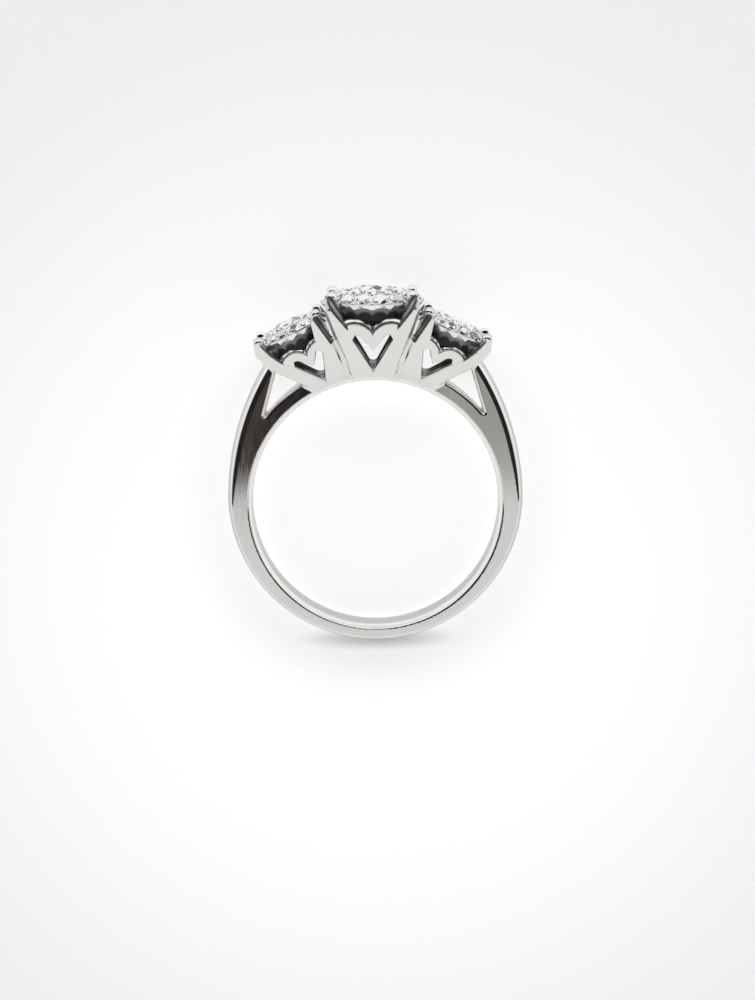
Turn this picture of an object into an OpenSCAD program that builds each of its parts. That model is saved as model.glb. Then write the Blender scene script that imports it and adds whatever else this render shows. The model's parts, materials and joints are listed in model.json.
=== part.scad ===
// Three-stone ring in white metal: a split-shoulder shank carries three square claw
// heads with heart galleries, and each head holds a domed cluster of brilliants.
// The ring is drawn upright (x right, y along the finger, z towards the heads)
// and then laid on its side, on the back of the centre head and of the shank.

/* [Shank] */
// Radius of the finger hole
finger_r = 8.65; // [8.2:0.05:9.2]
// Width of the band along the finger
band_w = 3.0; // [2.6:0.1:3.4]
// Radial thickness of the band at the bottom
band_t = 1.24; // [1.1:0.02:1.4]
// Radial thickness of the band at the sides
side_t = 1.72; // [1.6:0.02:1.9]
// Height of the dome on the outside of the band
dome_h = 0.3; // [0.2:0.05:0.4]
// Radius of the outer curve of the shoulders
shoulder_r = 18; // [17:0.5:20]
// Outer radius of the inner arms and of the bridge under the heads
bridge_r = 9.85; // [9.7:0.05:10]

/* [Heads] */
// Half width of the centre head at its base
centre_base = 1.38; // [1.3:0.02:1.5]
// Height of the centre head from its base to its claw tips
centre_h = 6.27; // [6.1:0.05:6.5]
// Wall thickness of the centre gallery
gallery_t = 0.75; // [0.6:0.05:0.8]
// Radius of the claws of the centre head
claw_r = 0.5; // [0.46:0.01:0.52]
// Size of a side head against the centre head
side_scale = 0.78; // [0.76:0.01:0.8]
// Tilt of the side clusters
side_tilt = 26; // [25:0.5:27]

/* [Stones] */
// Diameter of the middle stone of the centre cluster
main_d = 2.64; // [2.5:0.02:2.66]
// Diameter of a stone in the inner round of the centre cluster
inner_d = 1.08; // [1:0.02:1.1]
// Diameter of a stone in the outer round of the centre cluster
outer_d = 1.05; // [1:0.01:1.07]

/* [Hidden] */
$fn = 96;
metal = "silver";
gem = "azure";

// Band: one curve for the lower half, then the shoulders above the sides
half_w = band_w / 2;
bottom_r = finger_r + band_t;
side_r = finger_r + side_t;
low_r = (bottom_r + side_r * side_r / bottom_r) / 2;
low_c = low_r - bottom_r;
shoulder_c = shoulder_r - side_r;
shoulder_z = 0.2;
dome_r = (half_w * half_w + dome_h * dome_h) / (2 * dome_h);

// Rounding of the finger hole at both faces
comfort_y = 0.6;
comfort_h = 0.27;
comfort_r = (comfort_y * comfort_y + comfort_h * comfort_h) / (2 * comfort_h);
comfort_c = half_w - comfort_y;

// Outline of the arms on one side of the ring, and of the opening between them
arm_top = [[8.3, 10.45], [6.4, 9.5], [5.0, 8.6]];
opening = [[7.62, 6.3], [6.76, 9.4], [6.4, 9.9], [4.2, 8.2]];

// Centre head: lean of its walls and bend of its claws
centre_z = finger_r + 0.05;
centre_lean = 0.38;
claw_bend = 5.0;
claw_tip_r = 0.42;
corner_cut = 0.35;

// Side head in its own frame: base, walls and claws, whose points are [across, up]
side_base = [2.88, 8.43];
side_skew = 0.2;
side_half_y = 1.5;
side_lean_y = 0.23;
side_lean_in = -0.115;
side_lean_out = 0.74;
side_in = -1.13;
side_out = 1.10;
side_claw_r = 0.42;
claw_out = [[0.60, 0.10], [3.00, 3.30], [3.32, 4.30], [3.13, 4.75]];
claw_out_r = [0.42, 0.42, 0.40, 0.38];
claw_in = [[-0.70, 0.10], [-1.18, 4.25], [-1.25, 4.77]];
claw_in_r = [0.42, 0.42, 0.36];
side_plate = [0.94, 5.16];
side_plate_scale = 0.765;

// Balls at the bends and tips of the claws, against the radius of the claw there
knuckle = 1.03;
set_back = 0.02;

// Heart gallery in the plane of a centre wall: [across, up]
lobe_r = 1.413;
lobe_at = [1.28, 2.89];
heart_top = 2.95;
window_tip = [0, 0.66];
window_out = [1.39, 3.10];
window_top = [1.19, 3.46];
window_in = [0.89, 3.39];
tongue_tip = [0, 2.31];
wedge_low = [1.79, 4.18];
wedge_h = 5.3;
side_wedge_h = 3.7;

// Plate of the centre cluster, with a skirt below, as [radius, depth under the claw tips]
plate_low = 1.24;
plate = [[0, plate_low], [2.30, plate_low], [2.38, 1.85], [2.60, 1.85], [2.68, plate_low],
         [3.14, plate_low], [3.30, 1.16], [3.60, 0.86], [3.54, 0.76], [2.60, 0.31],
         [1.40, 0.20], [0, 0.20]];
arch_h = 0.15;
arch_r = 1.27;
arch_from = 2.7;

// Stones of the centre cluster: depth, radius and tilt of each round
table_drop = -0.24;
inner_n = 10;
inner_ring_r = 1.98;
inner_ring_drop = 0.19;
inner_ring_tilt = 12;
outer_n = 16;
outer_ring_r = 3.06;
outer_ring_drop = 0.55;
outer_ring_tilt = 37;
seat_gap = 0.035;
seat_thru = 0.14;

// Cut of a brilliant of unit diameter: heights over the girdle and radii of its rings
crown_h = 0.165;
table_r = 0.285;
belt_h = 0.02;
star_r = 0.382;
star_h = crown_h - (star_r * cos(22.5) - table_r) * (crown_h - belt_h) / (0.5 - table_r);
culet_low = -0.455;
main_r = 0.115;
main_low = culet_low - main_r * cos(22.5) * (belt_h + culet_low) / 0.5;

// The ring rests on the back edge of the band and on the rim of the centre plate, and
// the middle of its length lies over the origin
claw_back = centre_base + centre_lean * claw_bend - claw_r - set_back;
rim = [plate[7].x, centre_z + centre_h - plate[7].y];
heel = [half_w, dome_h - bottom_r];
rest_tilt = atan2(rim.x - heel.x, rim.y - heel.y);
rest_z = heel.x * cos(rest_tilt) - heel.y * sin(rest_tilt);
rest_y = -2.66;

// Bar through a list of points, round in section, with a rounded tip at the last one
module claw(pts, radii) {
    for (i = [1:len(pts) - 1]) {
        d = pts[i] - pts[i - 1];
        lean = acos(d.z / norm(d));
        translate(pts[i - 1])
            rotate([0, lean, atan2(d.y, d.x)])
                cylinder(h = norm(d), r1 = radii[i - 1], r2 = radii[i]);
        translate(pts[i]) sphere(r = knuckle * radii[i]);
    }
}

// Disc with a domed rim, lying across the y axis
module domed_disc(r) {
    rotate([90, 0, 0])
        rotate_extrude()
            intersection() {
                translate([0, -half_w]) square([r, band_w]);
                union() {
                    translate([0, -half_w]) square([r - dome_r, band_w]);
                    translate([r - dome_r, 0]) circle(r = dome_r);
                }
            }
}

// Slab across the whole band, cut to an outline in the plane of the ring
module slab(w = 2 * band_w) {
    rotate([90, 0, 0]) translate([0, 0, -w / 2]) linear_extrude(height = w) children();
}

// Finger hole with rounded mouths
module finger_hole() {
    rotate([90, 0, 0])
        rotate_extrude()
            union() {
                translate([0, -band_w]) square([finger_r, 2 * band_w]);
                for (s = [-1, 1])
                    mirror([0, s < 0 ? 1 : 0])
                        difference() {
                            translate([finger_r - 0.01, comfort_c]) square([0.5, comfort_y + 0.02]);
                            translate([finger_r + comfort_r, comfort_c]) circle(r = comfort_r);
                        }
            }
}

// Outline kept for the arms, up to the underside of the side heads
module arm_outline() {
    for (m = [0, 1])
        mirror([m, 0])
            polygon(concat([[-0.01, -12], [13, -12], [13, 6]], arm_top, [[-0.01, 0]]));
}

// Opening between the outer and the inner arm of a shoulder
module shoulder_opening() {
    for (m = [0, 1])
        mirror([m, 0])
            difference() {
                polygon(opening);
                circle(r = bridge_r);
            }
}

// Band, split shoulders and the bridge under the heads
module shank() {
    difference() {
        union() {
            intersection() {
                translate([0, 0, low_c]) domed_disc(low_r);
                slab() translate([-15, -15]) square([30, 15 + shoulder_z]);
            }
            intersection() {
                translate([-shoulder_c, 0, shoulder_z]) domed_disc(shoulder_r);
                translate([shoulder_c, 0, shoulder_z]) domed_disc(shoulder_r);
                slab() translate([-15, 0]) square([30, 15]);
                slab() union() {
                    circle(r = bridge_r);
                    arm_outline();
                }
            }
        }
        finger_hole();
        slab() shoulder_opening();
    }
}

// Outline of one gallery wall: a heart over a V window, and claw roots at both sides.
// It reaches from a to b at its base and up to top, its sides lean by la and lb, and the
// heart is drawn at size s with skew k
module gallery_outline(a, b, la, lb, top, s, k) {
    at = function(x, y) [s * x + k * (s * y + 0.5), s * y];
    difference() {
        intersection() {
            polygon([[a, 0], [b, 0], [b + lb * top, top], [a + la * top, top]]);
            union() {
                for (side = [-1, 1])
                    translate(at(side * lobe_at.x, lobe_at.y)) circle(r = s * lobe_r);
                translate([-5, -1]) square([10, 1 + s * heart_top]);
                polygon([at(-wedge_low.x, 2), at(-wedge_low.x, wedge_low.y),
                         [a + la * top, top], [a + la * top - 2, top], [a - 2, 0]]);
                polygon([at(wedge_low.x, 2), at(wedge_low.x, wedge_low.y),
                         [b + lb * top, top], [b + lb * top + 2, top], [b + 2, 0]]);
            }
        }
        polygon([at(window_tip.x, window_tip.y),
                 at(window_out.x, window_out.y), at(window_top.x, window_top.y),
                 at(window_in.x, window_in.y),
                 at(tongue_tip.x, tongue_tip.y),
                 at(-window_in.x, window_in.y), at(-window_top.x, window_top.y),
                 at(-window_out.x, window_out.y)]);
    }
}

// Wall standing on the front edge of a base, leaning outwards
module wall(lean, t) {
    rotate([90 + atan(lean), 0, 0]) translate([0, 0, -t]) linear_extrude(height = t) children();
}

// Round of n places at radius r and depth drop, each turned outwards by tilt
module round_of(n, r, drop, tilt) {
    for (i = [0:n - 1])
        rotate([0, 0, (i + 0.5) * 360 / n]) translate([r, 0, -drop]) rotate([0, tilt, 0]) children();
}

// Seat of a stone: a well around its girdle, a cone along its pavilion and a hole below
module seat(d) {
    r = d / 2 + seat_gap;
    slope = (belt_h + main_low) / (main_r - 0.5);
    thru = seat_thru * d;
    rotate_extrude($fn = 48)
        polygon([[0, -3], [thru, -3], [thru, (thru - r) * slope - belt_h * d], [r, -belt_h * d],
                 [r, 3], [0, 3]]);
}

// Metal plate of a cluster: domed top, arches under the rim and a seat under each stone
module cluster_plate(s) {
    scale(s)
        difference() {
            rotate_extrude() polygon([for (p = plate) [p.x, -p.y]]);
            for (i = [0:outer_n - 1])
                rotate([0, 0, (i + 0.5) * 360 / outer_n])
                    translate([arch_from, 0, arch_h - arch_r - plate_low])
                        rotate([0, 90, 0]) cylinder(h = 2, r = arch_r);
            translate([0, 0, -table_drop - crown_h * main_d]) seat(main_d);
            round_of(inner_n, inner_ring_r, inner_ring_drop, inner_ring_tilt) seat(inner_d);
            round_of(outer_n, outer_ring_r, outer_ring_drop, outer_ring_tilt) seat(outer_d);
        }
}

// Corners of one ring of a brilliant
function ring_of(n, r, z, turn) =
    [for (i = [0:n - 1]) [r * cos(360 / n * i + turn), r * sin(360 / n * i + turn), z]];

// Brilliant with its girdle at z = 0: table, star, bezel and girdle facets over the pavilion
module brilliant(d) {
    points = concat(ring_of(8, table_r, crown_h, 22.5),
                    ring_of(8, star_r, star_h, 0),
                    ring_of(16, 0.5, belt_h, 0),
                    ring_of(16, 0.5, -belt_h, 0),
                    ring_of(8, main_r, main_low, 0),
                    [[0, 0, culet_low]]);
    star = 8;
    top = 16;
    low = 32;
    main = 48;
    culet = 56;
    faces = concat(
        [[for (i = [7:-1:0]) i]],
        [for (i = [0:7]) [(i + 7) % 8, i, star + i]],
        [for (i = [0:7]) [star + i, i, top + 2 * i + 1]],
        [for (i = [0:7]) [i, star + (i + 1) % 8, top + 2 * i + 1]],
        [for (i = [0:7]) [star + i, top + 2 * i + 1, top + 2 * i]],
        [for (i = [0:7]) [star + i, top + 2 * i, top + (2 * i + 15) % 16]],
        [for (i = [0:15]) [top + i, top + (i + 1) % 16, low + (i + 1) % 16, low + i]],
        [for (i = [0:7]) [low + 2 * i, low + 2 * i + 1, main + i]],
        [for (i = [0:7]) [low + (2 * i + 15) % 16, low + 2 * i, main + i]],
        [for (i = [0:7]) [main + i, low + 2 * i + 1, culet]],
        [for (i = [0:7]) [main + (i + 1) % 8, culet, low + 2 * i + 1]]);
    scale(d) polyhedron(points = points, faces = faces);
}

// The frame of the claw tips of a head, and the frame of a side head
module at_centre() {
    translate([0, 0, centre_z + centre_h]) children();
}

module at_side(m) {
    mirror([m, 0, 0]) translate([side_base.x, 0, side_base.y]) rotate([0, side_tilt, 0]) children();
}

module at_side_claws(m) {
    at_side(m) translate([side_plate.x, 0, side_plate.y]) children();
}

// Square head of the centre: four equal walls and four claws, with its cluster plate
module centre_head() {
    w = centre_base - corner_cut;
    lean = centre_lean * cos(atan(centre_lean));
    foot = centre_base + 0.25 * centre_lean - claw_r - set_back;
    translate([0, 0, centre_z])
        for (q = [0:3])
            rotate([0, 0, 90 * q]) {
                translate([0, -centre_base, 0])
                    wall(centre_lean, gallery_t) gallery_outline(-w, w, -lean, lean, wedge_h, 1, 0);
                claw([[foot, foot, 0.25],
                      [claw_back, claw_back, claw_bend],
                      [claw_back + 0.03, claw_back + 0.03, centre_h - claw_tip_r]],
                     [claw_r, claw_r, claw_tip_r]);
            }
    at_centre() cluster_plate(1);
}

// Points of a side claw, just inside the front wall
function claw_points(c) = [for (p = c) [p.x, side_claw_r + set_back - side_half_y - side_lean_y * p.y, p.y]];

// Head beside the centre one, leaning outwards, with its cluster plate
module side_head() {
    s = side_scale;
    t = s * gallery_t;
    cut = s * corner_cut;
    w = side_half_y - cut;
    lean = side_lean_y * cos(atan(side_lean_out));
    for (m = [0, 1])
        mirror([0, m, 0]) {
            translate([0, -side_half_y, 0])
                wall(side_lean_y, t)
                    gallery_outline(side_in + cut, side_out - cut, side_lean_in, side_lean_out,
                                    side_wedge_h, s, side_skew);
            claw(claw_points(claw_out), claw_out_r);
            claw(claw_points(claw_in), claw_in_r);
        }
    translate([side_in, 0, 0]) rotate([0, 0, -90])
        wall(-side_lean_in, t) gallery_outline(-w, w, -side_lean_y, side_lean_y, s * wedge_h, s, 0);
    translate([side_out, 0, 0]) rotate([0, 0, 90])
        wall(side_lean_out, t) gallery_outline(-w, w, -lean, lean, side_wedge_h, s, 0);
    translate([side_plate.x, 0, side_plate.y]) cluster_plate(side_plate_scale);
}

// Upright ring laid on its side
module laid() {
    translate([0, rest_y, rest_z]) rotate([rest_tilt - 90, 0, 0]) children();
}

// Whole metalwork, soldered into one piece
module mount() {
    color(metal)
        laid()
            difference() {
                union() {
                    shank();
                    centre_head();
                    for (m = [0, 1]) at_side(m) side_head();
                }
                finger_hole();
            }
}

module main_stone(s) {
    translate([0, 0, -s * (table_drop + crown_h * main_d)]) brilliant(s * main_d);
}

module inner_stones(s) {
    scale(s) round_of(inner_n, inner_ring_r, inner_ring_drop, inner_ring_tilt) brilliant(inner_d);
}

module outer_stones(s) {
    scale(s) round_of(outer_n, outer_ring_r, outer_ring_drop, outer_ring_tilt) brilliant(outer_d);
}

module centre_stone() { color(gem) laid() at_centre() main_stone(1); }
module centre_inner_stones() { color(gem) laid() at_centre() inner_stones(1); }
module centre_outer_stones() { color(gem) laid() at_centre() outer_stones(1); }
module left_stone() { color(gem) laid() at_side_claws(1) main_stone(side_plate_scale); }
module left_inner_stones() { color(gem) laid() at_side_claws(1) inner_stones(side_plate_scale); }
module left_outer_stones() { color(gem) laid() at_side_claws(1) outer_stones(side_plate_scale); }
module right_stone() { color(gem) laid() at_side_claws(0) main_stone(side_plate_scale); }
module right_inner_stones() { color(gem) laid() at_side_claws(0) inner_stones(side_plate_scale); }
module right_outer_stones() { color(gem) laid() at_side_claws(0) outer_stones(side_plate_scale); }

mount();
centre_stone();
centre_inner_stones();
centre_outer_stones();
left_stone();
left_inner_stones();
left_outer_stones();
right_stone();
right_inner_stones();
right_outer_stones();
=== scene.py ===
import json
import math

import bpy
import numpy as np
from mathutils import Matrix, Vector

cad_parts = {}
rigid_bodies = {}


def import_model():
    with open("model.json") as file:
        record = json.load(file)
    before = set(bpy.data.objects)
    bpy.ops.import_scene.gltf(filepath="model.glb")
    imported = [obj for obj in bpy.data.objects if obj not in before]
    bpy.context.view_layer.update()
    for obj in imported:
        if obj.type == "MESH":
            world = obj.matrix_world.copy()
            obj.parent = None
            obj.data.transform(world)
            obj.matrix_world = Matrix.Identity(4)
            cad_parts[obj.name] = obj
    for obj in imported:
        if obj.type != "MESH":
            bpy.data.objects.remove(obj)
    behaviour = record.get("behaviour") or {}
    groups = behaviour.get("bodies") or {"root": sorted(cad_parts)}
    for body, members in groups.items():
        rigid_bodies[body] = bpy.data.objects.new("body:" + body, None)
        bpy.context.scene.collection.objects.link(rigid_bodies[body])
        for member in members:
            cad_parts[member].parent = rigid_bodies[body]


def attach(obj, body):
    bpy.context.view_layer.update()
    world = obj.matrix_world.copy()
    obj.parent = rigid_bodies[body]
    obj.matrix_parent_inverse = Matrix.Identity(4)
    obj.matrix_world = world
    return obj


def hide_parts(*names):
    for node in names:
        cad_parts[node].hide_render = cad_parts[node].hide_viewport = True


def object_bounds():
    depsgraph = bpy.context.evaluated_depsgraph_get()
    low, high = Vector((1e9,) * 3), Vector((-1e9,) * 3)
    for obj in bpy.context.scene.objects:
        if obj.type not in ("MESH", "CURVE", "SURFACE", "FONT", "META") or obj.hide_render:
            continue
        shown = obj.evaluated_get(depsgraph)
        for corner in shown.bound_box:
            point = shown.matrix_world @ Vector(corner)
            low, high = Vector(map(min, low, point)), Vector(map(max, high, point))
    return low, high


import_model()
cad_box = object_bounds()

# The ring is worked out upright in millimetres (x right, y along the finger, z towards
# the heads). It is then laid on its side, as the CAD lays it, on the rim of the centre
# cluster and the heel of the band, whose places (y, z) are given here.
RIM = (3.60, 14.11)
HEEL = (1.5, -9.59)
TILT = math.atan2(RIM[0] - HEEL[0], RIM[1] - HEEL[1])
REST_Y = -2.66
REST_Z = HEEL[0] * math.cos(TILT) - HEEL[1] * math.sin(TILT)
S, C = math.sin(TILT), math.cos(TILT)
LAID = Matrix(((1, 0, 0, 0), (0, S, C, REST_Y), (0, -C, S, REST_Z), (0, 0, 0, 1)))
LAID_NP = np.array(LAID)
MM = 0.001

# Distance fields. Each is negative inside the metal.
# x and y are folded, so one quarter of the ring is enough.


def smax(a, b, k):
    """Larger of two fields, with the edge between them rounded over k."""
    h = np.maximum(k - np.abs(a - b), 0.0) / k
    return np.maximum(a, b) + h * h * k * 0.25


def smin(a, b, k):
    """Smaller of two fields, with the corner between them filled over k."""
    return -smax(-a, -b, k)


def ease(v, lo, hi):
    """Runs smoothly from 0 at lo to 1 at hi."""
    t = np.clip((v - lo) / (hi - lo), 0.0, 1.0)
    return t * t * (3.0 - 2.0 * t)


def outline(u, v, pts):
    """Signed distance to a closed outline, negative inside."""
    best, sign = None, 1.0
    for i, (ax, ay) in enumerate(pts):
        bx, by = pts[i - 1]
        ex, ey = bx - ax, by - ay
        wx, wy = u - ax, v - ay
        t = np.clip((wx * ex + wy * ey) / (ex * ex + ey * ey), 0.0, 1.0)
        d = (wx - ex * t) ** 2 + (wy - ey * t) ** 2
        best = d if best is None else np.minimum(best, d)
        c1, c2, c3 = v >= ay, v < by, ex * wy > ey * wx
        sign = np.where((c1 & c2 & c3) | (~c1 & ~c2 & ~c3), -sign, sign)
    return sign * np.sqrt(best)


def bar(place, pts, radii):
    """Round bar along a list of points, with the radius running from point to point."""
    best = None
    for i in range(len(pts) - 1):
        a, b = np.array(pts[i]), np.array(pts[i + 1])
        e = b - a
        t = np.clip(sum((c - p) * k for c, p, k in zip(place, a, e)) / (e @ e), 0.0, 1.0)
        r = radii[i] + (radii[i + 1] - radii[i]) * t
        d = np.sqrt(sum((c - p - k * t) ** 2 for c, p, k in zip(place, a, e))) - r
        best = d if best is None else np.minimum(best, d)
    return best


def left_of(u, v, a, b):
    """Distance from the line a-b, positive on its left."""
    ex, ey = b[0] - a[0], b[1] - a[1]
    return ((v - a[1]) * ex - (u - a[0]) * ey) / math.hypot(ex, ey)


def lean_frame(out, up, base, lean):
    """Distance out of a leaning wall's face, and height measured along that face."""
    c = 1.0 / math.hypot(1.0, lean)
    s = lean * c
    return (out - base) * c - up * s, (out - base) * s + up * c


# Band: circles of its lower half and of its shoulders, and the dome across both. Metal is
# kept inside the outline ARMS (x, z) or the bridge's radius, and OPENING is cut out of it.
FINGER_R, HALF_W = 8.65, 1.5
COMFORT_R, COMFORT_Y = 0.8017, 0.9
LOW_R, LOW_Z = 10.380, 0.490
SHOULDER_R, SHOULDER_X, SHOULDER_Z = 18.0, 7.63, 0.2
DOME_R = 3.9
BRIDGE_R = 9.85
ARMS = [(-0.01, -12.0), (13.0, -12.0), (13.0, 6.0), (8.3, 10.45), (6.4, 9.5), (5.0, 8.6),
        (-0.01, 0.0)]
OPENING = [(7.62, 6.3), (6.76, 9.4), (6.4, 9.9), (4.2, 8.2)]


def bore(rho, y):
    """Finger hole, rounded off towards both faces of the band."""
    t = np.clip(y - COMFORT_Y, 0.0, HALF_W - COMFORT_Y)
    return (FINGER_R + COMFORT_R - np.sqrt(COMFORT_R ** 2 - t * t)) - rho


def shank(x, y, z):
    """Domed band with the bridge under the heads, split by an opening at each shoulder."""
    rho = np.hypot(x, z)
    low = np.hypot(np.hypot(x, z - LOW_Z) - (LOW_R - DOME_R), y) - DOME_R
    swing = np.hypot(x + SHOULDER_X, z - SHOULDER_Z)
    high = np.hypot(swing - (SHOULDER_R - DOME_R), y) - DOME_R
    w = ease(z, -1.0, 1.4)
    body = smax(low * (1.0 - w) + high * w, y - HALF_W, 0.10 + 0.26 * ease(z, -1.0, 4.0))
    body = smax(body, np.minimum(rho - BRIDGE_R, outline(x, z, ARMS)), 0.12)
    return smax(body, -np.maximum(outline(x, z, OPENING), BRIDGE_R - rho), 0.24)


# Centre head: a wall is given by its half width at the foot and its lean, and the hollow
# facet of a claw by its width and radius
LOBE, LOBE_R, HEART_TOP = (1.28, 2.89), 1.413, 2.95
WINDOW = [(0.0, 0.66), (1.39, 3.10), (1.19, 3.46), (0.89, 3.39), (0.0, 2.31),
          (-0.89, 3.39), (-1.19, 3.46), (-1.39, 3.10)]
GALLERY_T = 0.75
CENTRE_Z, CENTRE_H, CENTRE_TOP = 8.70, 6.27, 5.9
CENTRE_WALL = (1.38, 0.38)
CLAW_FRONT, CLAW_END, CLAW_SIDE = 3.26, 5.96, 1.74
CENTRE_WEDGE = [(1.79, 4.00), (2.51, 4.85), (3.11, 6.00)]
CENTRE_FACET = (0.5, 0.9)
CENTRE_CLAW = ([(0.955, 0.955, 0.25), (2.76, 2.76, 5.0), (2.79, 2.79, 5.84)], [0.5, 0.5, 0.43])
LIP = 0.15


def wedge(u, v, pts):
    """Distance into the cluster's side of the bent line where a claw's flat front ends."""
    return smin(left_of(u, v, pts[0], pts[1]), left_of(u, v, pts[1], pts[2]), 0.3)


def hollow(depth, s, room, beside, w, r):
    """Hollow facet of a claw, w wide from the wedge line on. It has the radius r, ends
    rounded where the room above it ends, and is kept to the claw by the last distance."""
    c = 0.7071 * math.sqrt(r * r - 0.5 * w * w)
    scoop = r - np.hypot(depth - c + 0.5 * w, s - c - 0.5 * w)
    return np.minimum(scoop, np.minimum(room - 3.0 * (s - 0.5 * w) ** 2, beside))


def heart(u, v, s):
    lobe = np.hypot(u - s * LOBE[0], v - s * LOBE[1]) - s * LOBE_R
    return np.minimum(lobe, v - s * HEART_TOP)


def lip(deep, t):
    """Small rise along the back edge of a heart's rim."""
    return LIP * ease(deep, t - 0.42, t - 0.20)


def centre_faces(x, y, up):
    """For the two walls of a quarter: distance out, height, place along the wall, heart
    outline, distance from the wedge line and facet."""
    found = []
    for across, along in ((y, x), (x, y)):
        d, v = lean_frame(across, up, *CENTRE_WALL)
        d = smax(d, across - CLAW_FRONT, 0.3)
        s = wedge(along, v, CENTRE_WEDGE)
        cut = hollow(d, s, CLAW_END - up, along - CLAW_SIDE, *CENTRE_FACET)
        found.append((d, v, along, heart(along, v, 1.0), s, cut))
    return found


def centre_head(x, y, z):
    up = z - CENTRE_Z
    faces = centre_faces(x, y, up)
    walls = []
    for d, v, along, rim, s, _ in faces:
        rim = np.minimum(rim - lip(-d, GALLERY_T), np.maximum(s, CENTRE_WEDGE[0][0] - along))
        w = smax(np.maximum(-d - GALLERY_T, rim), -outline(along, v, WINDOW), 0.10)
        walls.append(smax(w, up - CENTRE_TOP, 0.4))
    shell = smax(smax(faces[0][0], faces[1][0], 0.42), np.minimum(walls[0], walls[1]), 0.08)
    claw = bar((x, y, up), *CENTRE_CLAW)
    return smax(smin(shell, claw, 0.08), np.maximum(faces[0][5], faces[1][5]), 0.05)


# Side heads, in a frame that leans outwards: u points away from the centre head.
# They are a smaller centre head, and the pattern of the front wall is sheared.
SIDE_X, SIDE_Z, SIDE_TILT = 2.88, 8.43, math.radians(26.0)
SIDE_S, SIDE_K = 0.78, 0.2
SIDE_T = SIDE_S * GALLERY_T
FRONT_WALL, INNER_WALL, OUTER_WALL = (1.5, 0.23), (1.13, 0.115), (1.10, 0.74)
SIDE_WINDOW = [(SIDE_S * x, SIDE_S * y) for x, y in WINDOW]
OUT_WEDGE = [(2.45, 3.22), (2.92, 4.05), (3.16, 5.10)]
OUT_FACET, OUT_END, OUT_SIDE = (0.36, 0.65), 5.0, 2.35
IN_WEDGE, IN_LOW = [(-1.24, 2.97), (-0.93, 5.19)], 2.75
IN_FACET, IN_END, IN_SIDE = (0.42, 0.75), 4.98, -0.5
IN_POST = [(-0.80, 5.13), (-0.42, 3.54)]
BAR_START, BAR_END = 2.2, [(3.74, 4.40), (3.40, 3.30)]
IN_TOP, OUT_TOP, CROSS_TOP = 4.86, 3.95, 3.7
SIDE_CLAWS = (([(0.60, 0.10), (3.02, 3.30), (3.32, 4.30), (3.14, 4.94)], [0.42, 0.42, 0.40, 0.38]),
              ([(-0.70, 0.10), (-1.18, 4.25), (-1.25, 4.90)], [0.42, 0.42, 0.38]))
SIDE_CLAW_T = 0.84
PRONG, PRONG_LINE = (SIDE_S * 1.79, SIDE_S * 4.18), (0.746, 0.666)


def side_at(x, y):
    """Place on a side head's front wall that matches a place on the centre head's wall."""
    return (SIDE_S * x + SIDE_K * (SIDE_S * y + 0.5), SIDE_S * y)


def side_frame(x, z):
    dx, dz = x - SIDE_X, z - SIDE_Z
    return (dx * math.cos(SIDE_TILT) - dz * math.sin(SIDE_TILT),
            dx * math.sin(SIDE_TILT) + dz * math.cos(SIDE_TILT))


def side_front(u, y, up):
    """Front wall: distance out, height, heart outline, and for the outer and the inner
    claw the distance from its wedge line and its facet."""
    d, v = lean_frame(y, up, *FRONT_WALL)
    a, b = side_at(*LOBE), side_at(-LOBE[0], LOBE[1])
    lobes = np.minimum(np.hypot(u - a[0], v - a[1]), np.hypot(u - b[0], v - b[1]))
    rim = np.minimum(lobes - SIDE_S * LOBE_R, v - SIDE_S * HEART_TOP)
    s_out = wedge(u, v, OUT_WEDGE)
    s_in = np.minimum(left_of(u, v, *IN_WEDGE), (v - IN_LOW) * 0.6)
    cut_out = hollow(d, s_out, OUT_END - v, u - OUT_SIDE, *OUT_FACET)
    cut_in = hollow(d, s_in, IN_END - v, IN_SIDE - u, *IN_FACET)
    return d, v, rim, s_out, s_in, cut_out, cut_in


def side_head(x, y, z):
    u, up = side_frame(x, z)
    front, v, rim, s_out, _, cut_out, cut_in = side_front(u, y, up)
    inner, h_in = lean_frame(-u, up, *INNER_WALL)
    outer, h_out = lean_frame(u, up, *OUTER_WALL)

    # Front wall: a sheared heart, a bar out to the outer claw and a post to the inner one
    arm = smax(np.maximum(s_out, BAR_START - u), left_of(u, v, *BAR_END), 0.9)
    rim = np.minimum(np.minimum(rim - lip(-front, SIDE_T), arm), left_of(u, v, *IN_POST))
    window = outline(u, v, [side_at(*p) for p in WINDOW])
    w = smax(np.maximum(-front - SIDE_T, rim), -window, 0.06)
    walls = smax(w, v - np.where(u < 1.0, IN_TOP, OUT_TOP), 0.3)

    # Walls across the band, each with an upright heart
    for d, h in ((inner, h_in), (outer, h_out)):
        s = (h - PRONG[1]) * PRONG_LINE[0] - (y - PRONG[0]) * PRONG_LINE[1]
        rim = np.minimum(heart(y, h, SIDE_S), np.maximum(s, PRONG[0] - y))
        w = smax(np.maximum(-d - SIDE_T, rim), -outline(y, h, SIDE_WINDOW), 0.06)
        walls = np.minimum(walls, smax(w, h - CROSS_TOP, 0.4))
    shell = smax(smax(smax(front, outer, 0.24), inner, 0.3), walls, 0.08)

    # Claws: flat-fronted bars that follow the wall and bend inwards at their tips
    depth = np.abs(front + 0.5 * SIDE_CLAW_T) - 0.5 * SIDE_CLAW_T
    for pts, radii in SIDE_CLAWS:
        claw = smax(bar((u, v), pts, radii), depth, 0.12 + 0.16 * ease(v, 4.1, 4.8))
        shell = smin(shell, claw, 0.05)
    return smax(shell, np.maximum(cut_out, cut_in), 0.05)


# Web between the heads: setback of its face at the foot and above, heights between which
# the setback grows, top, thickness, and how far it reaches into both heads
WEB_FOOT, WEB_BACK, WEB_RISE = 0.03, 0.42, (8.9, 12.0)
WEB_TOP, WEB_T, WEB_REACH = 13.2, 0.4, 0.3


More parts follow.
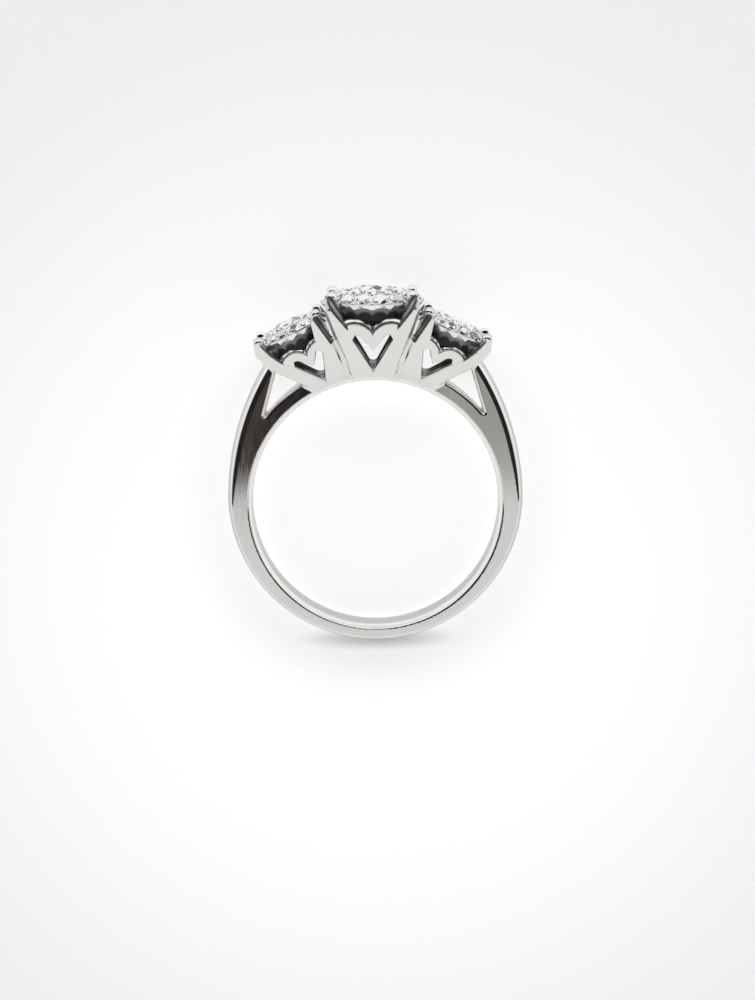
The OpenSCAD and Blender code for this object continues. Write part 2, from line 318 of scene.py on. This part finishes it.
def web(x, y, z):
    """Low wall that closes the gap between the centre head and a side head."""
    up = z - CENTRE_Z
    u, h = side_frame(x, z)
    face = lean_frame(y, up, *CENTRE_WALL)[0] + WEB_FOOT + WEB_BACK * ease(z, *WEB_RISE)
    gap = np.maximum(lean_frame(x, up, *CENTRE_WALL)[0], lean_frame(-u, h, *INNER_WALL)[0])
    return np.maximum(np.maximum(face, -face - WEB_T), np.maximum(gap - WEB_REACH, z - WEB_TOP))


def metalwork(x, y, z):
    """All soldered metal but the cluster plates."""
    x, y = np.abs(x), np.abs(y)
    heads = smin(centre_head(x, y, z), side_head(x, y, z), 0.08)
    heads = smin(heads, web(x, y, z), 0.18)
    return smax(smin(shank(x, y, z), heads, 0.20), bore(np.hypot(x, z), y), 0.06)


# Painted shade and painted highlight on the metal, kept as a point attribute. It is 0 on open,
# polished faces and runs up to 1 where the metal is painted dark and made matt, as shade in the
# heads' hollows. Below 0 it is matt and painted bright, a painted highlight.


def bump_at(t, at, width):
    return np.exp(-((t - at) / width) ** 2)


def stripes(s, w):
    """Painted shade across a claw's hollow facet: dark, with a lighter band of painted sheen and a
    bright line of painted highlight.
    """
    painted_sheen, line = 0.60 * bump_at(s / w, 0.28, 0.15), 2.3 * bump_at(s / w, 0.86, 0.14)
    return np.maximum(0.99 - painted_sheen - line, -1.0)


def rim_line(rim, deep, t):
    """1 on the polished line along the back edge of a heart's rim."""
    near = ease(np.abs(rim - lip(deep, t)), 0.14, 0.06)
    return near * ease(deep, t - 0.46, t - 0.38) * ease(deep, t - 0.08, t - 0.16)


def painted_shade_and_glint(x, y, z):
    """Painted shade inside the heads and on the claws' hollow facets, with a painted sheen and a
    painted highlight on the facets; no shade on the polished rims of hearts.
    """
    x, y = np.abs(x), np.abs(y)
    up = z - CENTRE_Z
    faces = centre_faces(x, y, up)
    u, h = side_frame(x, z)
    front, v, rim, s_out, s_in, cut_out, cut_in = side_front(u, y, h)

    # Depth behind the walls of whichever head is nearer
    deep_c = -np.maximum(faces[0][0], faces[1][0]) * ease(up, 5.75, 5.45)
    inner, outer = lean_frame(-u, h, *INNER_WALL)[0], lean_frame(u, h, *OUTER_WALL)[0]
    deep_s = -np.maximum(np.maximum(front, inner), outer) * ease(h, 4.55, 4.25)
    deep = np.maximum(deep_c, deep_s) * (np.hypot(x, z) > FINGER_R + 0.3)

    # Painted shade: low down, in the windows, the walls are painted lighter. Behind the hearts the
    # painted shade gets dark.
    high = np.where(deep_c > deep_s, ease(up, 2.7, 3.5), ease(h, 2.2, 2.9))
    dark = (0.42 + 0.22 * high) * ease(deep, 0.03, 0.15) + 0.32 * high * ease(deep, 0.60, 1.05)

    side = side_head(x, y, z) < centre_head(x, y, z)
    line = rim_line(rim, -front, SIDE_T) * (v > 2.0) * side
    for d, v, _, rim, s, cut in faces:
        line = np.maximum(line, rim_line(rim, -d, GALLERY_T) * (v > 2.6) * ~side)
        on = ease(cut, -0.06, -0.02) * ~side
        dark = dark * (1.0 - on) + stripes(s, CENTRE_FACET[0]) * on
    for s, w, cut in ((s_out, OUT_FACET[0], cut_out), (s_in, IN_FACET[0], cut_in)):
        on = ease(cut, -0.06, -0.02) * ease(h, 4.85, 4.65) * side
        dark = dark * (1.0 - on) + stripes(s, w) * on
    return dark * (1.0 - line * ease(deep, 0.05, 0.15))


# Cluster plates, each in its own frame with the middle stone on the z axis. A round of small
# stones is given by count, diameter, place of a girdle (r, z) and lean of a stone, with the
# grains of metal between the stones (r, z, radius). PLATE is the profile (r, z).
MAIN_D, MAIN_Z = 2.64, -0.196
OUTER_N, OUTER_D, OUTER_AT, OUTER_TILT = 16, 1.05, (3.06, -0.55), math.radians(37.0)
INNER_N, INNER_D, INNER_AT, INNER_TILT = 10, 1.08, (1.98, -0.19), math.radians(12.0)
OUTER_GRAINS = ((2.62, -0.27, 0.13), (3.44, -0.83, 0.15))
INNER_GRAINS = ((2.43, -0.29, 0.12), (1.60, -0.12, 0.11))
ROUNDS = ((OUTER_N, OUTER_D, OUTER_AT, OUTER_TILT, OUTER_GRAINS),
          (INNER_N, INNER_D, INNER_AT, INNER_TILT, INNER_GRAINS))
ARCH_Z, ARCH_R, ARCH_IN = -2.13, 1.0, 2.8
PLATE = [(-1.0, -1.24), (2.30, -1.24), (2.38, -2.05), (2.60, -2.05), (2.68, -1.34),
         (3.13, -1.34), (3.29, -1.27), (3.59, -0.96), (3.60, -0.86), (3.55, -0.77),
         (3.46, -0.875), (2.68, -0.29), (2.52, -0.35), (1.50, -0.13), (1.39, -0.25),
         (-1.0, -0.25)]


def seat(q, z, d):
    """Well and cone that a brilliant of diameter d needs, with a little room."""
    r = 0.5 * d + 0.03
    return np.maximum(q - r, (q - r - (z + 0.02 * d) * 1.149) * 0.6565)


def folded(r, a, step):
    """Place at radius r and angle a, folded into half a stone's share of a round."""
    b = np.abs((a / step) % 1.0 - 0.5) * step
    return r * np.cos(b), r * np.sin(b)


def cluster_plate(x, y, z):
    r, a = np.hypot(x, y), np.arctan2(y, x)
    metal = outline(r, z, PLATE)
    metal = smax(metal, -seat(r, z - MAIN_Z, MAIN_D), 0.03)
    for count, d, at, tilt, grains in ROUNDS:
        step = 2.0 * math.pi / count
        fx, fy = folded(r, a, step)
        lx = (fx - at[0]) * math.cos(tilt) - (z - at[1]) * math.sin(tilt)
        lz = (fx - at[0]) * math.sin(tilt) + (z - at[1]) * math.cos(tilt)
        metal = smax(metal, -seat(np.hypot(lx, fy), lz, d), 0.03)
        if count == OUTER_N:
            arch = np.maximum(np.hypot(fy, z - ARCH_Z) - ARCH_R, ARCH_IN - fx)
            metal = smax(metal, -arch, 0.04)
        for rho, high, size in grains:
            gx, gy = rho * math.cos(step / 2), rho * math.sin(step / 2)
            grain = np.sqrt((fx - gx) ** 2 + (fy - gy) ** 2 + (z - high) ** 2) - size
            metal = smin(metal, grain, 0.05)
    return metal


def plate_painted_shade(x, y, z):
    """Painted shade under a plate's rim: matt grey scallops, black below them."""
    r, a = np.hypot(x, y), np.arctan2(y, x)
    fy = folded(r, a, 2.0 * math.pi / OUTER_N)[1]
    black = ease(np.hypot(fy, z - ARCH_Z), 0.82, 0.60)
    return (0.62 + 0.35 * black) * ease(z, -1.10, -1.30) * ease(r, 3.34, 3.16)


# Meshing of a field


def grid(lo, hi, step):
    return np.arange(lo, hi + step, step)


def rough_surface(field, xs, ys, zs):
    """Quads around the grid's edges that cross the zero surface, on one vertex a cell.
    xs and ys start half a step below zero, so the first layer of cells sits on the mirror
    plane. It also tells which vertices lie on each of the two planes."""
    f = field(xs[:, None, None], ys[None, :, None], zs[None, None, :])
    inside = f < 0
    nx, ny, nz = f.shape
    cells = (nx - 1, ny - 1, nz - 1)
    size = cells[0] * cells[1] * cells[2]
    total = np.zeros((size, 3))
    count = np.zeros(size)
    quads = []
    axes = (xs, ys, zs)
    for ax in range(3):
        lo = [slice(None)] * 3
        hi = [slice(None)] * 3
        lo[ax], hi[ax] = slice(None, -1), slice(1, None)
        idx = np.argwhere(inside[tuple(lo)] != inside[tuple(hi)])
        step = np.zeros(3, int)
        step[ax] = 1
        far = idx + step
        f0, f1 = f[tuple(idx.T)], f[tuple(far.T)]
        t = f0 / (f0 - f1)
        p = np.stack([axes[k][idx[:, k]] for k in range(3)], 1)
        p[:, ax] += t * (axes[ax][far[:, ax]] - axes[ax][idx[:, ax]])
        b, c = (ax + 1) % 3, (ax + 2) % 3
        ring = []
        ok = np.ones(len(idx), bool)
        for db, dc in ((-1, -1), (0, -1), (0, 0), (-1, 0)):
            cell = idx.copy()
            cell[:, b] += db
            cell[:, c] += dc
            good = np.all((cell >= 0) & (cell < np.array(cells)), 1)
            lin = cell[:, 0] * cells[1] * cells[2] + cell[:, 1] * cells[2] + cell[:, 2]
            lin = np.where(good, lin, 0)
            for k in range(3):
                total[:, k] += np.bincount(lin[good], p[good, k], minlength=size)
            count += np.bincount(lin[good], minlength=size)
            ok &= good
            ring.append(lin)
        q = np.stack(ring, 1)[ok]
        turn = inside[tuple(idx[ok].T)]
        quads.append(np.where(turn[:, None], q, q[:, ::-1]))
    used, quads = np.unique(np.concatenate(quads), return_inverse=True)
    v = total[used] / count[used][:, None]
    flat_x = used // (cells[1] * cells[2]) == 0
    flat_y = (used // cells[2]) % cells[1] == 0
    v[flat_x, 0] = 0.0
    v[flat_y, 1] = 0.0
    return v, quads.reshape(-1, 4), flat_x, flat_y


def settled(field, start, flat_x, flat_y, reach):
    """Vertices moved onto the zero surface, by no more than reach, and its normals there."""
    v, e = start, 0.004
    for _ in range(4):
        g = np.stack([field(*(v + d).T) - field(*(v - d).T) for d in e * np.eye(3)], 1) / (2 * e)
        g[flat_x, 0] = 0.0
        g[flat_y, 1] = 0.0
        n2 = np.maximum((g * g).sum(1), 0.05)
        v = v - g * (field(*v.T) / n2)[:, None]
        move = v - start
        far = np.linalg.norm(move, axis=1)
        v = start + move * np.minimum(1.0, reach / np.maximum(far, 1e-9))[:, None]
    g /= np.maximum(np.linalg.norm(g, axis=1), 1e-9)[:, None]
    return v, g


def mirrored(v, quads, n, flat, axis):
    """The mesh and its mirror image in one axis, joined at the vertices on the mirror plane."""
    other = np.where(flat, np.arange(len(v)), 0)
    free = ~flat
    other[free] = len(v) + np.arange(free.sum())
    sign = np.ones(3)
    sign[axis] = -1.0
    return (np.concatenate([v, v[free] * sign]),
            np.concatenate([quads, other[quads][:, ::-1]]),
            np.concatenate([n, n[free] * sign]), free)


def whole(field, xs, ys, zs):
    """Vertices, quads and normals of a field's surface, mirrored to all four quarters."""
    v, q, flat_x, flat_y = rough_surface(field, xs, ys, zs)
    v, n = settled(field, v, flat_x, flat_y, 0.8 * (xs[1] - xs[0]))
    v, q, n, free = mirrored(v, q, n, flat_y, 1)
    flat_x = np.concatenate([flat_x, flat_x[free]])
    v, q, n, _ = mirrored(v, q, n, flat_x, 0)
    return v, q, n


def piece(name, v, quads, n, painted_light, material):
    """Blender object from points in the upright ring's millimetres."""
    keep, quads = np.unique(quads, return_inverse=True)
    quads = quads.reshape(-1, 4)
    v, n, painted_light = v[keep], n[keep], painted_light[keep]
    v = (v @ LAID_NP[:3, :3].T + LAID_NP[:3, 3]) * MM
    n = n @ LAID_NP[:3, :3].T
    mesh = bpy.data.meshes.new(name)
    mesh.vertices.add(len(v))
    mesh.vertices.foreach_set("co", v.astype(np.float32).ravel())
    mesh.loops.add(quads.size)
    mesh.loops.foreach_set("vertex_index", quads.astype(np.int32).ravel())
    mesh.polygons.add(len(quads))
    mesh.polygons.foreach_set("loop_start", np.arange(0, quads.size, 4, dtype=np.int32))
    mesh.update(calc_edges=True)
    mesh.validate()
    mesh.polygons.foreach_set("use_smooth", np.ones(len(mesh.polygons), bool))
    mesh.normals_split_custom_set_from_vertices(n.tolist())
    # Per-vertex painted shade and painted highlight, read by the metal's shader
    shade = mesh.attributes.new("painted_shade_and_glint", "FLOAT", "POINT")
    shade.data.foreach_set("value", painted_light.astype(np.float32))
    obj = bpy.data.objects.new(name, mesh)
    bpy.context.collection.objects.link(obj)
    mesh.materials.append(material)
    return obj


# Nodes. In these functions a value is another node's output, or a plain number or colour.


def put(tree, value, socket):
    """Links an output to a socket, or sets the socket to a plain value."""
    if isinstance(value, bpy.types.NodeSocket):
        tree.links.new(value, socket)
    else:
        socket.default_value = value


def add(tree, kind, **values):
    """New node with some of its properties and inputs set."""
    node = tree.nodes.new(kind)
    for key, value in values.items():
        if hasattr(node, key):
            setattr(node, key, value)
        else:
            put(tree, value, node.inputs[key.replace("_", " ")])
    return node


def maths(tree, operation, *values):
    node = add(tree, "ShaderNodeMath", operation=operation)
    for value, socket in zip(values, node.inputs):
        put(tree, value, socket)
    return node.outputs["Value"]


def vector_maths(tree, operation, *values, output="Vector"):
    node = add(tree, "ShaderNodeVectorMath", operation=operation)
    for value, socket in zip(values, node.inputs):
        put(tree, value, socket)
    return node.outputs[output]


def ramp(tree, value, lo, hi, a=0.0, b=1.0, kind="SMOOTHSTEP"):
    """Runs from a to b while the value runs from lo to hi."""
    node = add(tree, "ShaderNodeMapRange", interpolation_type=kind, Value=value,
               From_Min=lo, From_Max=hi, To_Min=a, To_Max=b)
    return node.outputs["Result"]


def blend(tree, factor, a, b):
    """Colour a where the factor is 0, colour b where it is 1."""
    node = add(tree, "ShaderNodeMix", data_type="RGBA", Factor=factor)
    for key, value in (("A", a), ("B", b)):
        colour = value + (1,) if isinstance(value, tuple) else value
        put(tree, colour, node.inputs[key])
    return node.outputs["Result"]


def two_colours(tree, value, stops):
    """Colour ramp between two stops, each a place and a colour."""
    node = add(tree, "ShaderNodeValToRGB", Fac=value)
    for element, (place, colour) in zip(node.color_ramp.elements, stops):
        element.position = place
        element.color = colour + (1,)
    return node.outputs["Color"]


def noise(tree, vector, **values):
    return add(tree, "ShaderNodeTexNoise", Vector=vector, **values).outputs["Fac"]


def principled(name):
    """New material, its node tree and the inputs of its shader."""
    mat = bpy.data.materials.new(name)
    mat.use_nodes = True
    tree = mat.node_tree
    tree.nodes.clear()
    out = tree.nodes.new("ShaderNodeOutputMaterial")
    bsdf = tree.nodes.new("ShaderNodeBsdfPrincipled")
    tree.links.new(bsdf.outputs[0], out.inputs[0])
    return mat, tree, bsdf.inputs


def metal_material():
    mat, tree, shader = principled("white_metal")
    where = add(tree, "ShaderNodeTexCoord").outputs["Object"]
    deep = add(tree, "ShaderNodeAttribute", attribute_name="painted_shade_and_glint").outputs["Fac"]

    # Cloudy white metal. Painted shade makes it near black and matt where the point attribute is
    # high; below 0 it is painted bright and matt, a painted highlight
    cloud = noise(tree, where, Scale=420.0, Detail=3.0)
    tint = two_colours(tree, cloud, ((0.0, (0.86, 0.85, 0.835)), (1.0, (0.93, 0.925, 0.915))))
    put(tree, blend(tree, deep, tint, (0.034, 0.030, 0.028)), shader["Base Color"])
    # The painted shade also darkens the edge-on tint
    edge_on = blend(tree, deep, (0.60, 0.60, 0.597), (0.12, 0.12, 0.115))
    put(tree, edge_on, shader["Specular Tint"])
    matt = maths(tree, "ABSOLUTE", deep)
    put(tree, maths(tree, "MULTIPLY_ADD", matt, -0.92, 1.0), shader["Metallic"])

    # Hairline polishing marks
    stretch = add(tree, "ShaderNodeMapping", Vector=where, Scale=(9000.0, 700.0, 2600.0),
                  Rotation=(0.4, 0.2, 0.7)).outputs["Vector"]
    hair = noise(tree, stretch, Scale=1.0, Detail=4.0, Roughness=0.6)
    polish = ramp(tree, hair, 0.3, 0.75, 0.035, 0.085, "LINEAR")
    put(tree, maths(tree, "ADD", polish, maths(tree, "MULTIPLY", matt, 0.55)), shader["Roughness"])
    bump = add(tree, "ShaderNodeBump", Strength=0.05, Distance=0.00001, Height=hair)
    put(tree, bump.outputs["Normal"], shader["Normal"])
    return mat


def stone_material():
    mat, tree, shader = principled("brilliant_stone")
    put(tree, 0.12, shader["Transmission Weight"])
    put(tree, 2.42, shader["IOR"])

    # Painted sparkle: at random, each facet is painted dark, white or like a mirror, standing in
    # for the light it would reflect
    normal = add(tree, "ShaderNodeNewGeometry").outputs["True Normal"]
    facet = vector_maths(tree, "SNAP", normal, (0.06, 0.06, 0.06))
    chance = add(tree, "ShaderNodeTexWhiteNoise", noise_dimensions="3D", Vector=facet)
    chance = chance.outputs["Value"]
    painted_sparkle = two_colours(tree, chance, ((0.20, (0.05, 0.05, 0.052)), (0.34, (1.0, 1.0, 1.0))))
    put(tree, painted_sparkle, shader["Base Color"])
    put(tree, ramp(tree, chance, 0.52, 0.60, 0.0, 0.9, "LINEAR"), shader["Metallic"])

    where = add(tree, "ShaderNodeTexCoord").outputs["Object"]
    haze = noise(tree, where, Scale=2500.0, Detail=2.0)
    put(tree, ramp(tree, haze, 0.0, 1.0, 0.0, 0.012, "LINEAR"), shader["Roughness"])
    return mat


def floor_material():
    mat, tree, shader = principled("pale_floor")
    where = add(tree, "ShaderNodeTexCoord").outputs["Object"]
    grain = noise(tree, where, Scale=900.0, Detail=3.0)
    tint = two_colours(tree, grain, ((0.0, (0.90, 0.90, 0.90)), (1.0, (0.92, 0.92, 0.92))))
    put(tree, tint, shader["Base Color"])
    put(tree, 0.7, shader["Roughness"])
    put(tree, (1.0, 1.0, 1.0, 1), shader["Emission Color"])

    def beyond(centre, size, start, stop, least=0.0, most=1.0):
        """Runs from least to most between start and stop sizes away from a place."""
        move = vector_maths(tree, "SUBTRACT", where, centre)
        span = vector_maths(tree, "DIVIDE", move, size)
        span = vector_maths(tree, "LENGTH", span, output="Value")
        return ramp(tree, span, start, stop, least, most)

    # Painted light: the floor's glow is strongest around the ring and fades a little to its far and
    # near ends
    away = vector_maths(tree, "DISTANCE", where, (0.0, -0.008, 0.0), output="Value")
    fade = ramp(tree, away, 0.012, 0.046, 0.555, 0.385)

    # Painted shadow: soft shade taken out of the floor's glow around the ring and under the foot of
    # the band
    middle, ring_size = (0.0, REST_Y * MM, 0.0), (0.0104, 0.0104, 1.0)
    inside = beyond(middle, ring_size, 0.86, 1.02, 1.0, 0.0)
    outside = beyond(middle, ring_size, 1.02, 1.45, 0.84, 1.0)
    foot = beyond((0.0, -0.0127, 0.0), (0.0066, 0.0011, 1.0), 0.05, 1.0)
    light = maths(tree, "MULTIPLY", fade, maths(tree, "MAXIMUM", inside, outside))
    put(tree, maths(tree, "MULTIPLY", light, foot), shader["Emission Strength"])
    return mat


metal = metal_material()
stone = stone_material()

# Metalwork: one surface, on a grid that is coarser down the band than across the heads,
# split into the band, the centre head, and each shoulder with its head
FINE, COARSE, COARSE_TOP = 0.066, 0.12, 4.0
SHOULDERS_FROM, CENTRE_EDGE, CENTRE_SPREAD, CENTRE_FROM = 4.4, 1.85, 0.375, 8.6
zs = np.concatenate([grid(-10.2, COARSE_TOP, COARSE), grid(COARSE_TOP + 0.06, 15.15, FINE)])
v, quads, n = whole(metalwork, grid(-FINE / 2, 10.6, FINE), grid(-FINE / 2, 3.8, FINE), zs)
mid = v[quads].mean(1)
upper = mid[:, 2] > SHOULDERS_FROM
edge = CENTRE_EDGE + CENTRE_SPREAD * (mid[:, 2] - CENTRE_FROM)
centre = upper & (np.abs(mid[:, 0]) < edge)
split = {"band": ~upper, "centre_gallery": centre,
         "left_shoulder_and_gallery": upper & ~centre & (mid[:, 0] < 0),
         "right_shoulder_and_gallery": upper & ~centre & (mid[:, 0] >= 0)}
# Painted shade and painted highlight of the metalwork, per vertex
painted_light = painted_shade_and_glint(*v.T)
made = [piece(name, v, quads[take], n, painted_light, metal) for name, take in split.items()]

# Cluster plates: the side ones are smaller, lean outwards and have a deeper skirt
PLATE_FINE = 0.045
PLATE_S, PLATE_OUT, PLATE_UP = 0.765, 0.94, 5.16
SKIRT_Z, SKIRT_S, SKIRT_UP = -0.9, 1.4, 0.36
plate_xs, plate_zs = grid(-PLATE_FINE / 2, 3.75, PLATE_FINE), grid(-2.15, 0.15, PLATE_FINE)
plate_v, plate_quads, plate_n = whole(cluster_plate, plate_xs, plate_xs, plate_zs)
# Painted shade under the plates, per vertex
plate_painted_light = plate_painted_shade(*plate_v.T)
centre_v = plate_v + [0, 0, CENTRE_Z + CENTRE_H]
made.append(piece("centre_cluster_plate", centre_v, plate_quads, plate_n, plate_painted_light, metal))
low = np.where(plate_v[:, 2] < SKIRT_Z, plate_v[:, 2] * SKIRT_S + SKIRT_UP, plate_v[:, 2])
side_v = np.stack([plate_v[:, 0], plate_v[:, 1], low], 1) * PLATE_S
for side, name in ((-1, "left_cluster_plate"), (1, "right_cluster_plate")):
    turn = np.array(Matrix.Rotation(side * SIDE_TILT, 3, "Y"))
    at = np.array([side * PLATE_OUT, 0.0, PLATE_UP])
    p = (side_v + at) @ turn.T + np.array([side * SIDE_X, 0.0, SIDE_Z])
    made.append(piece(name, p, plate_quads, plate_n @ turn.T, plate_painted_light, metal))
for obj in made:
    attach(obj, "root")
    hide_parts("mount")

# The CAD's stones stay, with a better material
for obj in list(bpy.data.objects):
    if obj.type == "MESH" and "stone" in obj.name:
        for slot in obj.material_slots:
            slot.material = stone

# Floor, in metres
FLOOR_HALF, FLOOR_BELOW = 0.6, 0.00002
floor_mesh = bpy.data.meshes.new("floor")
corners = [(x * FLOOR_HALF, y * FLOOR_HALF, 0) for x, y in ((-1, -1), (1, -1), (1, 1), (-1, 1))]
floor_mesh.from_pydata(corners, [], [(0, 1, 2, 3)])
floor = bpy.data.objects.new("floor", floor_mesh)
bpy.context.collection.objects.link(floor)
floor.location = (0, 0, cad_box[0][2] - FLOOR_BELOW)
floor_mesh.materials.append(floor_material())

# Camera, in the upright ring's frame, as fitted to the photograph of 755x1000 pixels
VIEW_HIGH, VIEW_ROLL = math.radians(9.5), math.radians(0.99)
VIEW_FAR, VIEW_AT = 165.0, Vector((0.135, 0.0, 0.04))
FOCAL_PX, FRAME_PX, SENSOR = 2340.0, 1000.0, 36.0


def photo_camera():
    ahead = Vector((0, math.cos(VIEW_HIGH), -math.sin(VIEW_HIGH)))
    upright = Vector((0, math.sin(VIEW_HIGH), math.cos(VIEW_HIGH)))
    level = Vector((1, 0, 0))
    right = level * math.cos(VIEW_ROLL) - upright * math.sin(VIEW_ROLL)
    up = level * math.sin(VIEW_ROLL) + upright * math.cos(VIEW_ROLL)
    local = Matrix((right, up, -ahead)).transposed().to_4x4()
    local.translation = VIEW_AT - ahead * VIEW_FAR
    placed = LAID @ local
    placed.translation = placed.translation * MM
    data = bpy.data.cameras.new("camera")
    data.lens = FOCAL_PX * SENSOR / FRAME_PX
    data.clip_start = 0.005
    data.clip_end = 5.0
    camera = bpy.data.objects.new("camera", data)
    bpy.context.collection.objects.link(camera)
    camera.matrix_world = placed
    return camera


def studio():
    """Light: a bright table in front of the ring, a dark room above the table's edge and a
    bright sky over that, by direction in the upright ring's frame."""
    sky = bpy.data.worlds.new("studio")
    sky.use_nodes = True
    tree = sky.node_tree
    tree.nodes.clear()
    out = add(tree, "ShaderNodeOutputWorld")
    light = add(tree, "ShaderNodeBackground", Strength=1.0)
    tree.links.new(light.outputs[0], out.inputs[0])
    where = add(tree, "ShaderNodeTexCoord").outputs["Generated"]

    def along(direction):
        return vector_maths(tree, "DOT_PRODUCT", where, direction, output="Value")

    def band(value, lo, lo_end, hi, hi_end):
        """1 between two limits, each with a soft edge."""
        return maths(tree, "MULTIPLY", ramp(tree, value, lo, lo_end), ramp(tree, value, hi, hi_end))

    front, high, side = along((0, -S, C)), along((0, C, S)), along((1, 0, 0))
    table = blend(tree, ramp(tree, high, -0.5, -0.1), (0.80, 0.80, 0.79), (0.66, 0.66, 0.655))
    bright = blend(tree, ramp(tree, high, -0.12, 0.5), table, (1.0, 1.0, 1.0))

    # The room has faint brown streaks, a slanted brown stripe and a grey patch on the right
    drawn_out = add(tree, "ShaderNodeMapping", Vector=where, Scale=(130.0, 14.0, 14.0))
    streaks = noise(tree, drawn_out.outputs["Vector"], Scale=1.0, Detail=3.0)
    brown = ramp(tree, streaks, 0.54, 0.72)
    room = blend(tree, brown, (0.006, 0.006, 0.008), (0.16, 0.13, 0.11))
    slant = along((1, -0.26 * C, -0.26 * S))
    stripe = band(slant, -0.0218, -0.0200, -0.0174, -0.0190)
    room = blend(tree, stripe, room, (0.17, 0.115, 0.085))
    mottled = ramp(tree, streaks, 0.40, 0.60)
    grey = blend(tree, mottled, (0.27, 0.265, 0.25), (0.46, 0.45, 0.42))
    room = blend(tree, band(side, 0.012, 0.026, 0.11, 0.085), room, grey)

    within = band(high, -0.166, -0.152, 0.62, 0.52)
    dark = maths(tree, "MULTIPLY", within, ramp(tree, front, 0.36, 0.48))
    put(tree, blend(tree, dark, bright, room), light.inputs["Color"])
    return sky


bpy.context.scene.camera = photo_camera()
bpy.context.scene.world = studio()
scene = bpy.context.scene
scene.view_settings.view_transform = "Standard"
scene.view_settings.look = "None"
scene.cycles.max_bounces = 24
scene.cycles.transmission_bounces = 20
scene.cycles.glossy_bounces = 12
